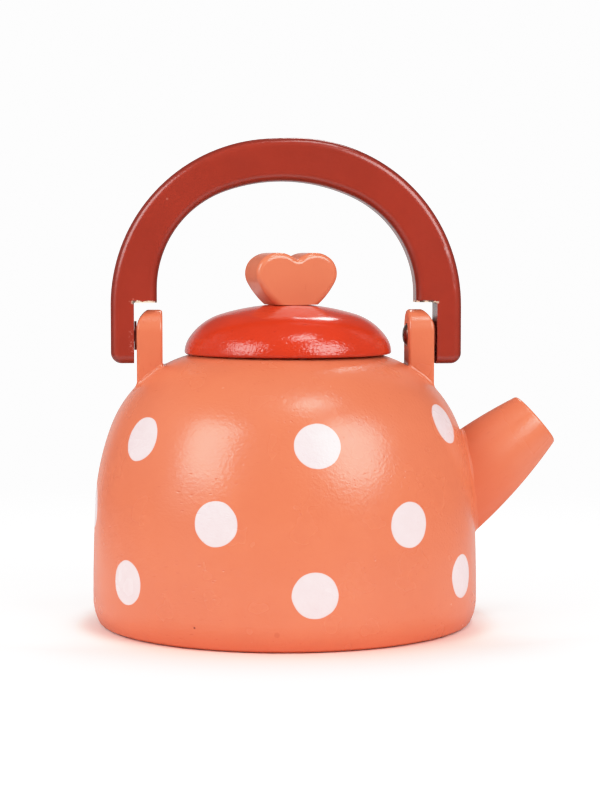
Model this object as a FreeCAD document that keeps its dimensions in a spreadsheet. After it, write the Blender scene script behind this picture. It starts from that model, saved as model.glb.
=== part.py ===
import FreeCAD, Part
import Sketcher
import math
import os
from FreeCAD import Placement, Rotation, Vector

# Wooden toy kettle. Millimetres, +Z up. Origin: centre of the flat base, on the
# axis of the turned body. The spout points to +X, the handle swings about X.

doc = FreeCAD.newDocument("toy_kettle")

# ---------------------------------------------------------------- dimensions
SIZES = [
    # turned body
    ("body_radius", 60.0), ("base_arc", 15.3), ("base_arc_top", 7.9), ("base_edge", 1.8),
    ("wall_arc", 572.5), ("wall_top", 37.7), ("shoulder_arc", 77.2), ("shoulder_top", 61.8),
    ("crown_arc", 35.8), ("seat_z", 83.6),
    ("bore_radius", 25.0), ("floor_z", 12.0), ("bore_corner", 5.0), ("bore_chamfer", 0.8),
    # posts that carry the handle
    ("post_mid_left", 42.05), ("post_mid_right", 42.2), ("post_thick", 8.0), ("post_radius", 6.8),
    ("post_rise", 1.25), ("post_bottom", 62.0), ("pivot_z", 89.4), ("post_hole", 1.83),
    ("post_edge", 0.9), ("post_corner_arc", 7.0), ("post_corner_drop", 6.0),
    ("sink_radius", 3.8), ("sink_deep_left", 2.1), ("sink_deep_right", 0.75),
    # handle
    ("handle_depth", 12.0),
    ("out_top", 150.45), ("out_arc", 150.0), ("out_mid", 3.5), ("out_left", 54.05),
    ("out_left_spring", 98.8), ("out_right", 54.95), ("out_right_spring", 98.5),
    ("in_top", 137.1), ("in_arc", 52.7), ("in_mid", -0.75), ("in_left", 39.7),
    ("in_left_spring", 103.8), ("in_right", 40.7), ("in_right_spring", 102.0),
    ("leg_bottom_left", 80.9), ("leg_bottom_right", 80.5), ("leg_corner", 3.4),
    ("handle_edge", 2.6),
    ("tab_in_left", 46.85), ("tab_in_right", 47.15), ("rebate_z", 99.65),
    # pivot hardware
    ("screw_radius", 1.75), ("screw_len_right", 14.25), ("screw_len_left", 13.0), ("screw_tip", 2.4), ("head_radius", 3.45),
    ("head_rim", 0.65), ("head_height", 1.8), ("head_gap", 0.05), ("cross_len", 3.6),
    ("cross_wide", 0.95), ("cross_deep", 1.15),
    ("washer_radius", 4.5), ("washer_hole", 2.15), ("washer_thick", 0.7),
    # lid
    ("lid_shift", 1.0), ("lid_z", 83.65), ("lid_radius", 32.3), ("rim_z", 83.83), ("rim_arc", 8.9),
    ("rim_top", 88.9), ("dome_arc", 18.5), ("dome_top", 96.05), ("crest_arc", 70.0),
    ("knob_seat", 98.95), ("spigot_radius", 23.7), ("spigot_len", 7.0), ("spigot_chamfer", 1.2),
    ("lid_edge", 0.8),
    # heart knob
    ("knob_x", 1.95), ("knob_yaw", 17.8), ("knob_depth", 13.0), ("knob_base", 7.0),
    ("knob_half", 13.4), ("knob_wide_z", 9.7), ("knob_side_arc", 6.0), ("knob_flank_arc", 24.0),
    ("knob_top", 16.15), ("knob_top_arc", 8.4), ("notch_arc", 1.8), ("knob_edge", 1.7),
    ("knob_dowel_r", 3.0), ("knob_dowel_len", 14.0),
    # spout
    ("spout_x", 79.37), ("spout_z", 62.94), ("spout_rise", 40.8), ("spout_tip_r", 9.2),
    ("spout_root_r", 14.25), ("spout_len", 45.5), ("spout_arc", 164.0), ("spout_edge", 1.2),
    ("mouth_radius", 5.0), ("mouth_deep", 10.0), ("mouth_chamfer", 0.6),
    ("spout_dowel_r", 5.0), ("spout_dowel_len", 24.0), ("spout_dowel_at", 14.6),
]
sheet = doc.addObject("Spreadsheet::Sheet", "Sizes")
for row, (alias, value) in enumerate(SIZES, start=1):
    sheet.set("A%d" % row, alias)
    sheet.set("B%d" % row, str(value))
    sheet.setAlias("B%d" % row, alias)
doc.recompute()


def d(name):
    return float(getattr(sheet, name))


def expr(name):
    return "Sizes." + name


# ------------------------------------------------------------------- helpers
def new_body(name, label):
    body = doc.addObject("PartDesign::Body", name)
    body.Label = label
    return body


def plane(body, role):
    for feature in body.Origin.OriginFeatures:
        if feature.Role == role:
            return feature
    raise RuntimeError("no " + role)


def new_sketch(body, name, role, offset=None):
    sketch = body.newObject("Sketcher::SketchObject", name)
    sketch.AttachmentSupport = [(plane(body, role), "")]
    sketch.MapMode = "FlatFace"
    if offset is not None:
        sketch.AttachmentOffset = Placement(Vector(0, 0, offset), Rotation())
    return sketch


def arc(cx, cy, r, a0, a1):
    return Part.ArcOfCircle(Part.Circle(Vector(cx, cy, 0), Vector(0, 0, 1), r), a0, a1)


def line(x0, y0, x1, y1):
    return Part.LineSegment(Vector(x0, y0, 0), Vector(x1, y1, 0))


def drive(sketch, kind, args, value, name, formula=None):
    """A driving constraint whose value comes from the sheet."""
    index = sketch.addConstraint(Sketcher.Constraint(kind, *(list(args) + [value])))
    sketch.renameConstraint(index, name)
    sketch.setExpression("Constraints." + name, formula or expr(name))
    return index


def tie(sketch, kind, *args):
    return sketch.addConstraint(Sketcher.Constraint(kind, *args))


def closed(sketch):
    doc.recompute()
    if sketch.solve() != 0:
        raise RuntimeError("sketch %s does not solve" % sketch.Name)
    if not sketch.Shape.Wires or not all(w.isClosed() for w in sketch.Shape.Wires):
        raise RuntimeError("sketch %s is open" % sketch.Name)


def revolve(body, name, sketch):
    feature = body.newObject("PartDesign::Revolution", name)
    feature.Profile = sketch
    feature.ReferenceAxis = (sketch, ["V_Axis"])
    feature.Angle = 360.0
    sketch.Visibility = False
    doc.recompute()
    return feature


def edges_where(shape, test):
    return ["Edge%d" % (i + 1) for i, e in enumerate(shape.Edges) if test(e)]


def fillet(body, name, base, names, radius_name):
    feature = body.newObject("PartDesign::Fillet", name)
    feature.Base = (base, names)
    feature.Radius = d(radius_name)
    feature.setExpression("Radius", expr(radius_name))
    doc.recompute()
    return feature


def ring_edge(e, radius, z, tol=0.02):
    return (isinstance(e.Curve, Part.Circle) and abs(e.Curve.Radius - radius) < tol
            and abs(e.Curve.Center.z - z) < tol)


# ------------------------------------------------- body: outer form, turned
# Profile in the XZ plane: flat base, undercut base arc, nearly straight wall,
# two shoulder arcs up to the flat seat of the lid.
form = new_body("TurnedForm", "turned_form")
sk = new_sketch(form, "FormProfile", "XZ_Plane")
R = d("body_radius")
c1 = (R - d("base_arc"), d("base_arc_top"))
a0 = -math.asin(d("base_arc_top") / d("base_arc"))
x_base = c1[0] + d("base_arc") * math.cos(a0)
c2 = (R - d("wall_arc"), d("base_arc_top"))
a1 = math.asin((d("wall_top") - c2[1]) / d("wall_arc"))
p2 = (c2[0] + d("wall_arc") * math.cos(a1), d("wall_top"))
c3 = (p2[0] - d("shoulder_arc") * math.cos(a1), p2[1] - d("shoulder_arc") * math.sin(a1))
a2 = math.asin((d("shoulder_top") - c3[1]) / d("shoulder_arc"))
p3 = (c3[0] + d("shoulder_arc") * math.cos(a2), d("shoulder_top"))
c4 = (p3[0] - d("crown_arc") * math.cos(a2), p3[1] - d("crown_arc") * math.sin(a2))
a3 = math.asin((d("seat_z") - c4[1]) / d("crown_arc"))
p4 = (c4[0] + d("crown_arc") * math.cos(a3), d("seat_z"))
sk.addGeometry([
    line(0, 0, x_base, 0),
    arc(c1[0], c1[1], d("base_arc"), a0, 0.0),
    arc(c2[0], c2[1], d("wall_arc"), 0.0, a1),
    arc(c3[0], c3[1], d("shoulder_arc"), a1, a2),
    arc(c4[0], c4[1], d("crown_arc"), a2, a3),
    line(p4[0], p4[1], 0, p4[1]),
    line(0, p4[1], 0, 0),
], False)
tie(sk, "Coincident", 0, 1, -1, 1)
tie(sk, "Coincident", 0, 2, 1, 1)
tie(sk, "Tangent", 1, 2, 2, 1)
tie(sk, "Tangent", 2, 2, 3, 1)
tie(sk, "Tangent", 3, 2, 4, 1)
tie(sk, "Coincident", 4, 2, 5, 1)
tie(sk, "Coincident", 5, 2, 6, 1)
tie(sk, "Coincident", 6, 2, 0, 1)
tie(sk, "Horizontal", 0)
tie(sk, "Horizontal", 5)
tie(sk, "Vertical", 6)
tie(sk, "Horizontal", 1, 2, 1, 3)
drive(sk, "DistanceX", (-1, 1, 1, 2), R, "body_radius")
drive(sk, "DistanceY", (-1, 1, 1, 2), d("base_arc_top"), "base_arc_top")
drive(sk, "Radius", (1,), d("base_arc"), "base_arc")
drive(sk, "Radius", (2,), d("wall_arc"), "wall_arc")
drive(sk, "DistanceY", (-1, 1, 2, 2), d("wall_top"), "wall_top")
drive(sk, "Radius", (3,), d("shoulder_arc"), "shoulder_arc")
drive(sk, "DistanceY", (-1, 1, 3, 2), d("shoulder_top"), "shoulder_top")
drive(sk, "Radius", (4,), d("crown_arc"), "crown_arc")
drive(sk, "DistanceY", (-1, 1, 4, 2), d("seat_z"), "seat_z")
closed(sk)
form_rev = revolve(form, "FormTurned", sk)
fillet(form, "BaseEdge", form_rev,
       edges_where(form_rev.Shape, lambda e: ring_edge(e, x_base, 0.0)), "base_edge")

# ------------------------------------------------- hollow bored down the axis
hollow = new_body("Hollow", "hollow_form")
sk = new_sketch(hollow, "HollowProfile", "XZ_Plane")
r, z0, q, c = d("bore_radius"), d("floor_z"), d("bore_corner"), d("bore_chamfer")
zs, zt = d("seat_z"), d("seat_z") + 6.0
sk.addGeometry([
    line(0, z0, r - q, z0),
    arc(r - q, z0 + q, q, -math.pi / 2, 0.0),
    line(r, z0 + q, r, zs - c),
    line(r, zs - c, r + c, zs),
    line(r + c, zs, r + c, zt),
    line(r + c, zt, 0, zt),
    line(0, zt, 0, z0),
], False)
tie(sk, "Tangent", 0, 2, 1, 1)
tie(sk, "Tangent", 1, 2, 2, 1)
for k in (2, 3, 4, 5):
    tie(sk, "Coincident", k, 2, k + 1, 1)
tie(sk, "Coincident", 6, 2, 0, 1)
tie(sk, "PointOnObject", 0, 1, -2)
for k in (0, 5):
    tie(sk, "Horizontal", k)
for k in (2, 4, 6):
    tie(sk, "Vertical", k)
drive(sk, "DistanceX", (-1, 1, 2, 1), r, "bore_radius")
drive(sk, "DistanceY", (-1, 1, 0, 1), z0, "floor_z")
drive(sk, "Radius", (1,), q, "bore_corner")
drive(sk, "DistanceX", (3, 1, 3, 2), c, "bore_chamfer")
drive(sk, "DistanceY", (-1, 1, 3, 2), zs, "seat_z")
drive(sk, "DistanceY", (3, 1, 3, 2), c, "chamfer_height", expr("bore_chamfer"))
drive(sk, "DistanceY", (4, 1, 4, 2), 6.0, "over_seat", "6")
closed(sk)
revolve(hollow, "HollowTurned", sk)


# ----------------------------------------------------------------- two posts
# Local frame: origin on the pivot axis, X out of the kettle, half-round top
# a little above the pivot, outer top corner worn round, all edges eased. Each
# post has a sunk seat for the head of its screw, deeper in the left one.
def make_post(name, label, sunk):
    post = new_body(name, label)
    w, b, up = d("post_radius"), d("post_bottom") - d("pivot_z"), d("post_rise")
    sk = new_sketch(post, name + "Side", "YZ_Plane")
    sk.addGeometry([
        arc(0, up, w, 0.0, math.pi),
        line(-w, up, -w, b),
        line(-w, b, w, b),
        line(w, b, w, up),
        Part.Circle(Vector(0, 0, 0), Vector(0, 0, 1), d("post_hole")),
    ], False)
    tie(sk, "PointOnObject", 0, 3, -2)
    tie(sk, "Tangent", 0, 2, 1, 1)
    tie(sk, "Coincident", 1, 2, 2, 1)
    tie(sk, "Coincident", 2, 2, 3, 1)
    tie(sk, "Tangent", 3, 2, 0, 1)
    tie(sk, "Horizontal", 2)
    tie(sk, "Vertical", 1)
    drive(sk, "DistanceY", (-1, 1, 0, 3), up, "post_rise")
    tie(sk, "Coincident", 4, 3, -1, 1)
    drive(sk, "Radius", (0,), w, "post_radius")
    drive(sk, "Radius", (4,), d("post_hole"), "post_hole")
    drive(sk, "DistanceY", (2, 1, -1, 1), -b, "post_drop", "Sizes.pivot_z - Sizes.post_bottom")
    closed(sk)
    pad = post.newObject("PartDesign::Pad", name + "Pad")
    pad.Profile = sk
    pad.Midplane = True
    pad.Length = d("post_thick")
    pad.setExpression("Length", expr("post_thick"))
    sk.Visibility = False
    doc.recompute()
    # outer top corner
    x1, top, ra, dr = d("post_thick") / 2, w + up, d("post_corner_arc"), d("post_corner_drop")
    ang = math.asin(dr / ra)
    xe = x1 - ra + ra * math.cos(ang)
    sk = new_sketch(post, name + "Corner", "XZ_Plane")
    sk.addGeometry([
        arc(x1 - ra, top - dr, ra, 0.0, ang),
        line(xe, top, xe, top + 2),
        line(xe, top + 2, x1 + 2, top + 2),
        line(x1 + 2, top + 2, x1 + 2, top - dr),
        line(x1 + 2, top - dr, x1, top - dr),
    ], False)
    tie(sk, "Coincident", 0, 2, 1, 1)
    tie(sk, "Coincident", 1, 2, 2, 1)
    tie(sk, "Coincident", 2, 2, 3, 1)
    tie(sk, "Coincident", 3, 2, 4, 1)
    tie(sk, "Coincident", 4, 2, 0, 1)
    tie(sk, "Vertical", 1)
    tie(sk, "Horizontal", 2)
    tie(sk, "Vertical", 3)
    tie(sk, "Horizontal", 4)
    tie(sk, "Horizontal", 0, 1, 0, 3)
    drive(sk, "Radius", (0,), ra, "post_corner_arc")
    drive(sk, "DistanceX", (-1, 1, 0, 1), x1, "half_thick", "Sizes.post_thick / 2")
    drive(sk, "DistanceY", (-1, 1, 0, 1), top - dr, "corner_low",
          "Sizes.post_radius + Sizes.post_rise - Sizes.post_corner_drop")
    drive(sk, "DistanceY", (0, 1, 0, 2), dr, "post_corner_drop")
    drive(sk, "DistanceX", (0, 1, 3, 2), 2.0, "clear_x", "2")
    drive(sk, "DistanceY", (0, 2, 1, 2), 2.0, "clear_z", "2")
    closed(sk)
    cut = post.newObject("PartDesign::Pocket", name + "CornerCut")
    cut.Profile = sk
    cut.Type = 1
    cut.Midplane = True
    sk.Visibility = False
    doc.recompute()
    if not pad.Shape.Volume - cut.Shape.Volume > 5.0:
        raise RuntimeError("the corner cut removed nothing")
    h = d("post_hole")

    def outer(e):
        box = e.BoundBox
        if isinstance(e.Curve, Part.Circle) and abs(e.Curve.Radius - h) < 0.01:
            return False
        if box.ZMax < b + 0.01:
            return False
        flat_y = abs(box.YMax - box.YMin) < 0.01 and abs(abs(box.YMax) - w) < 0.01
        long_z = box.ZMax - box.ZMin > 10.0
        if long_z and flat_y:
            return True
        if box.ZMax > up + 0.5 and box.YMax - box.YMin > 2.0:
            return True
        return False

    names = edges_where(cut.Shape, outer)
    last = fillet(post, name + "Edges", cut, names, "post_edge")
    sk = new_sketch(post, name + "Sink", "YZ_Plane", -x1)
    sk.addGeometry([Part.Circle(Vector(0, 0, 0), Vector(0, 0, 1), d("sink_radius"))], False)
    tie(sk, "Coincident", 0, 3, -1, 1)
    drive(sk, "Radius", (0,), d("sink_radius"), "sink_radius")
    closed(sk)
    seat = post.newObject("PartDesign::Pocket", name + "SinkCut")
    seat.Profile = sk
    seat.Type = 0
    seat.Reversed = True
    seat.setExpression("Length", expr(sunk))
    sk.Visibility = False
    doc.recompute()
    if not last.Shape.Volume - seat.Shape.Volume > 10.0:
        raise RuntimeError("the sunk seat removed nothing")
    return post


post_r = make_post("PostR", "post_right", "sink_deep_right")
post_r.Placement = Placement(Vector(d("post_mid_right"), 0, d("pivot_z")), Rotation())
post_r.setExpression("Placement.Base.x", expr("post_mid_right"))
post_r.setExpression("Placement.Base.z", expr("pivot_z"))
post_l = make_post("PostL", "post_left", "sink_deep_left")
post_l.Placement = Placement(Vector(-d("post_mid_left"), 0, d("pivot_z")),
                             Rotation(Vector(0, 0, 1), 180))
post_l.setExpression("Placement.Base.x", "-Sizes.post_mid_left")
post_l.setExpression("Placement.Base.z", expr("pivot_z"))

# --------------------------------------------------------------------- spout
# Local frame: Z points from the mouth back into the kettle.
spout_dir = Vector(-math.cos(math.radians(d("spout_rise"))), 0,
                   -math.sin(math.radians(d("spout_rise"))))
spout_place = Placement(Vector(d("spout_x"), 0, d("spout_z")),
                        Rotation(Vector(0, 0, 1), spout_dir))
cone = new_body("SpoutCone", "spout_cone")
sk = new_sketch(cone, "SpoutProfile", "XZ_Plane")
rt, rr, ln, sr = d("spout_tip_r"), d("spout_root_r"), d("spout_len"), d("spout_arc")
half = math.hypot(rr - rt, ln) / 2
lean = math.atan2(ln, rr - rt)
back = math.sqrt(sr ** 2 - half ** 2)
sc = ((rt + rr) / 2 - back * math.sin(lean), ln / 2 + back * math.cos(lean))
b0 = math.atan2(-sc[1], rt - sc[0])
b1 = math.atan2(ln - sc[1], rr - sc[0])
mr, md, mc = d("mouth_radius"), d("mouth_deep"), d("mouth_chamfer")
sk.addGeometry([
    line(0, md, mr, md),
    line(mr, md, mr, mc),
    line(mr, mc, mr + mc, 0),
    line(mr + mc, 0, rt, 0),
    arc(sc[0], sc[1], sr, b0, b1),
    line(rr, ln, 0, ln),
    line(0, ln, 0, md),
], False)
for k in range(6):
    tie(sk, "Coincident", k, 2, k + 1, 1)
tie(sk, "Coincident", 6, 2, 0, 1)
tie(sk, "PointOnObject", 0, 1, -2)
for k in (0, 3, 5):
    tie(sk, "Horizontal", k)
tie(sk, "Vertical", 1)
tie(sk, "Vertical", 6)
tie(sk, "PointOnObject", 3, 2, -1)
drive(sk, "DistanceX", (-1, 1, 1, 1), mr, "mouth_radius")
drive(sk, "DistanceY", (-1, 1, 0, 1), md, "mouth_deep")
drive(sk, "DistanceX", (2, 1, 2, 2), mc, "mouth_chamfer")
drive(sk, "DistanceY", (-1, 1, 2, 1), mc, "chamfer_deep", expr("mouth_chamfer"))
drive(sk, "DistanceX", (-1, 1, 3, 2), rt, "spout_tip_r")
drive(sk, "DistanceX", (-1, 1, 4, 2), rr, "spout_root_r")
drive(sk, "DistanceY", (-1, 1, 4, 2), ln, "spout_len")
drive(sk, "Radius", (4,), sr, "spout_arc")
closed(sk)
cone_rev = revolve(cone, "SpoutTurned", sk)
fillet(cone, "SpoutEdge", cone_rev,
       edges_where(cone_rev.Shape, lambda e: ring_edge(e, rt, 0.0)), "spout_edge")
cone.Placement = spout_place

# dowel that pins the spout to the body, and the hole drilled for it
axis_rot = spout_place.Rotation
dowel = doc.addObject("Part::Cylinder", "SpoutDowel")
dowel.Label = "spout_dowel"
dowel.setExpression("Radius", expr("spout_dowel_r"))
dowel.setExpression("Height", expr("spout_dowel_len"))
dowel.Placement = Placement(Vector(d("spout_x"), 0, d("spout_z")) + spout_dir * d("spout_dowel_at"),
                            axis_rot)
drill = doc.addObject("Part::Cylinder", "SpoutDrill")
drill.setExpression("Radius", expr("spout_dowel_r"))
drill.setExpression("Height", "Sizes.spout_dowel_len + 1.2")
drill.Placement = Placement(Vector(d("spout_x"), 0, d("spout_z"))
                            + spout_dir * (d("spout_dowel_at") - 0.6), axis_rot)
doc.recompute()

# the root of the spout is coped to the turned wall and drilled
spout_tools = doc.addObject("Part::Fuse", "SpoutTools")
spout_tools.Base = form
spout_tools.Tool = drill
spout = doc.addObject("Part::Cut", "Spout")
spout.Label = "spout"
spout.Base = cone
spout.Tool = spout_tools

# the body itself: turned form less the hollow, the mortises and the drilled hole
body_tools = doc.addObject("Part::MultiFuse", "BodyTools")
body_tools.Shapes = [hollow, drill]
body_step = doc.addObject("Part::Cut", "BodyBored")
body_step.Base = form
body_step.Tool = body_tools
mortises = doc.addObject("Part::MultiFuse", "Mortises")
mortises.Shapes = [post_l, post_r]
kettle = doc.addObject("Part::Cut", "Kettle")
kettle.Label = "body"
kettle.Base = body_step
kettle.Tool = mortises
doc.recompute()

# -------------------------------------------------------------------- handle
handle = new_body("HandleArch", "handle")
sk = new_sketch(handle, "HandleOutline", "XZ_Plane")
ol, orr, il, ir = d("out_left"), d("out_right"), d("in_left"), d("in_right")
om, im = d("out_mid"), d("in_mid")
orc, irc = d("out_arc"), d("in_arc")
ocz, icz = d("out_top") - orc, d("in_top") - irc
bl, br, lc = d("leg_bottom_left"), d("leg_bottom_right"), d("leg_corner")


def side_arc(half, spring, big, cz):
    """Radius and angle of the arc tangent to the crown arc and to the straight leg."""
    dz = spring - cz
    rad = (big ** 2 - half ** 2 - dz ** 2) / (2.0 * (big - half))
    ang = math.atan2(dz, half - rad)
    return rad, ang


orr_r, orr_a = side_arc(orr - om, d("out_right_spring"), orc, ocz)
olr, ola = side_arc(ol + om, d("out_left_spring"), orc, ocz)
irr_r, irr_a = side_arc(ir - im, d("in_right_spring"), irc, icz)
ilr, ila = side_arc(il + im, d("in_left_spring"), irc, icz)
zor, zol = d("out_right_spring"), d("out_left_spring")
zir, zil = d("in_right_spring"), d("in_left_spring")
sk.addGeometry([
    arc(om, ocz, orc, orr_a, math.pi - ola),                   # 0 outer crown
    arc(orr - orr_r, zor, orr_r, 0.0, orr_a),                  # 1 outer right
    line(orr, zor, orr, br + lc),                              # 2 right leg, outside
    arc(orr - lc, br + lc, lc, -math.pi / 2, 0.0),             # 3 right leg, corner
    line(orr - lc, br, ir, br),                                # 4 right leg, end
    line(ir, br, ir, zir),                                     # 5 right leg, inside
    arc(ir - irr_r, zir, irr_r, 0.0, irr_a),                   # 6 inner right
    arc(im, icz, irc, irr_a, math.pi - ila),                   # 7 inner crown
    arc(ilr - il, zil, ilr, math.pi - ila, math.pi),           # 8 inner left
    line(-il, zil, -il, bl),                                   # 9
    line(-il, bl, -ol + lc, bl),                               # 10
    arc(-ol + lc, bl + lc, lc, math.pi, 1.5 * math.pi),        # 11
    line(-ol, bl + lc, -ol, zol),                              # 12
    arc(olr - ol, zol, olr, math.pi - ola, math.pi),           # 13 outer left
], False)
tie(sk, "Tangent", 0, 1, 1, 2)
tie(sk, "Tangent", 1, 1, 2, 1)
tie(sk, "Tangent", 2, 2, 3, 2)
tie(sk, "Tangent", 3, 1, 4, 1)
tie(sk, "Coincident", 4, 2, 5, 1)
tie(sk, "Tangent", 5, 2, 6, 1)
tie(sk, "Tangent", 6, 2, 7, 1)
tie(sk, "Tangent", 7, 2, 8, 1)
tie(sk, "Tangent", 8, 2, 9, 1)
tie(sk, "Coincident", 9, 2, 10, 1)
tie(sk, "Tangent", 10, 2, 11, 2)
tie(sk, "Tangent", 11, 1, 12, 1)
tie(sk, "Tangent", 12, 2, 13, 2)
tie(sk, "Tangent", 13, 1, 0, 2)
for k in (2, 5, 9, 12):
    tie(sk, "Vertical", k)
for k in (4, 10):
    tie(sk, "Horizontal", k)
drive(sk, "DistanceX", (-1, 1, 0, 3), om, "out_mid")
drive(sk, "DistanceX", (7, 3, -1, 1), -im, "in_mid", "-Sizes.in_mid")
drive(sk, "Radius", (0,), orc, "out_arc")
drive(sk, "Radius", (7,), irc, "in_arc")
drive(sk, "DistanceY", (-1, 1, 0, 3), ocz, "crown_out", "Sizes.out_top - Sizes.out_arc")
drive(sk, "DistanceY", (-1, 1, 7, 3), icz, "crown_in", "Sizes.in_top - Sizes.in_arc")
drive(sk, "DistanceX", (-1, 1, 2, 1), orr, "out_right")
drive(sk, "DistanceX", (12, 2, -1, 1), ol, "out_left")
drive(sk, "DistanceX", (-1, 1, 5, 2), ir, "in_right")
drive(sk, "DistanceX", (8, 2, -1, 1), il, "in_left")
drive(sk, "DistanceY", (-1, 1, 2, 1), zor, "out_right_spring")
drive(sk, "DistanceY", (-1, 1, 12, 2), zol, "out_left_spring")
drive(sk, "DistanceY", (-1, 1, 5, 2), zir, "in_right_spring")
drive(sk, "DistanceY", (-1, 1, 8, 2), zil, "in_left_spring")
drive(sk, "DistanceY", (-1, 1, 4, 2), br, "leg_bottom_right")
drive(sk, "DistanceY", (-1, 1, 10, 1), bl, "leg_bottom_left")
drive(sk, "Radius", (3,), lc, "leg_corner")
drive(sk, "Radius", (11,), lc, "leg_corner_left", expr("leg_corner"))
closed(sk)
pad = handle.newObject("PartDesign::Pad", "HandlePad")
pad.Profile = sk
pad.Midplane = True
pad.setExpression("Length", expr("handle_depth"))
sk.Visibility = False
doc.recompute()
hd = d("handle_depth") / 2


def arch_edge(e):
    box = e.BoundBox
    return box.YMax - box.YMin < 0.01 and abs(abs(box.YMax) - hd) < 0.01


eased = fillet(handle, "HandleEdges", pad, edges_where(pad.Shape, arch_edge), "handle_edge")

# rebates: the inner half of each leg end is sawn away, which leaves the tabs
tr, tl, rz = d("tab_in_right"), d("tab_in_left"), d("rebate_z")
sk = new_sketch(handle, "Rebates", "XZ_Plane")
for x0, x1, low, base in ((ir - 5.0, tr, br - 5.0, 0), (5.0 - il, -tl, bl - 5.0, 4)):
    sk.addGeometry([line(x0, low, x1, low), line(x1, low, x1, rz),
                    line(x1, rz, x0, rz), line(x0, rz, x0, low)], False)
    for k in range(4):
        tie(sk, "Coincident", base + k, 2, base + (k + 1) % 4, 1)
    for k in (0, 2):
        tie(sk, "Horizontal", base + k)
    for k in (1, 3):
        tie(sk, "Vertical", base + k)
drive(sk, "DistanceX", (-1, 1, 1, 1), tr, "tab_in_right")
drive(sk, "DistanceX", (5, 1, -1, 1), tl, "tab_in_left")
drive(sk, "DistanceY", (-1, 1, 1, 2), rz, "rebate_z")
drive(sk, "DistanceY", (-1, 1, 5, 2), rz, "rebate_z_left", expr("rebate_z"))
drive(sk, "DistanceX", (-1, 1, 3, 1), ir - 5, "past_in", "Sizes.in_right - 5")
drive(sk, "DistanceX", (7, 1, -1, 1), il - 5, "past_in_left", "Sizes.in_left - 5")
drive(sk, "DistanceY", (-1, 1, 0, 1), br - 5, "past_end", "Sizes.leg_bottom_right - 5")
drive(sk, "DistanceY", (-1, 1, 4, 1), bl - 5, "past_end_left", "Sizes.leg_bottom_left - 5")
closed(sk)
rebate = handle.newObject("PartDesign::Pocket", "RebateCut")
rebate.Profile = sk
rebate.Type = 1
rebate.Midplane = True
sk.Visibility = False
doc.recompute()
if not eased.Shape.Volume - rebate.Shape.Volume > 2000.0:
    raise RuntimeError("the rebates removed too little")

# blind holes in the tabs that the pivot screws thread into
HEAD_X = {1: "(Sizes.post_mid_right - Sizes.post_thick / 2 + Sizes.sink_deep_right - Sizes.head_gap)",
          -1: "(Sizes.post_mid_left - Sizes.post_thick / 2 + Sizes.sink_deep_left - Sizes.head_gap)"}
head_x = {1: d("post_mid_right") - d("post_thick") / 2 + d("sink_deep_right") - d("head_gap"),
          -1: d("post_mid_left") - d("post_thick") / 2 + d("sink_deep_left") - d("head_gap")}
last = rebate
for name, side, word, ti in (("PilotR", 1, "right", tr), ("PilotL", -1, "left", tl)):
    # the sketch plane's normal is +X
    sk = new_sketch(handle, name + "Sketch", "YZ_Plane", side * (ti - 1.0))
    sk.addGeometry([Part.Circle(Vector(0, d("pivot_z"), 0), Vector(0, 0, 1),
                                d("screw_radius"))], False)
    tie(sk, "PointOnObject", 0, 3, -2)
    drive(sk, "Radius", (0,), d("screw_radius"), "screw_radius")
    drive(sk, "DistanceY", (-1, 1, 0, 3), d("pivot_z"), "pivot_z")
    closed(sk)
    hole = handle.newObject("PartDesign::Pocket", name)
    hole.Profile = sk
    hole.Type = 0
    hole.Reversed = side > 0
    hole.setExpression("Length", "Sizes.screw_len_%s + %s - Sizes.tab_in_%s + 1.0 + 0.05"
                       % (word, HEAD_X[side], word))
    sk.Visibility = False
    doc.recompute()
    if not last.Shape.Volume - hole.Shape.Volume > 30.0:
        raise RuntimeError(name + " removed nothing")
    last = hole


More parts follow.
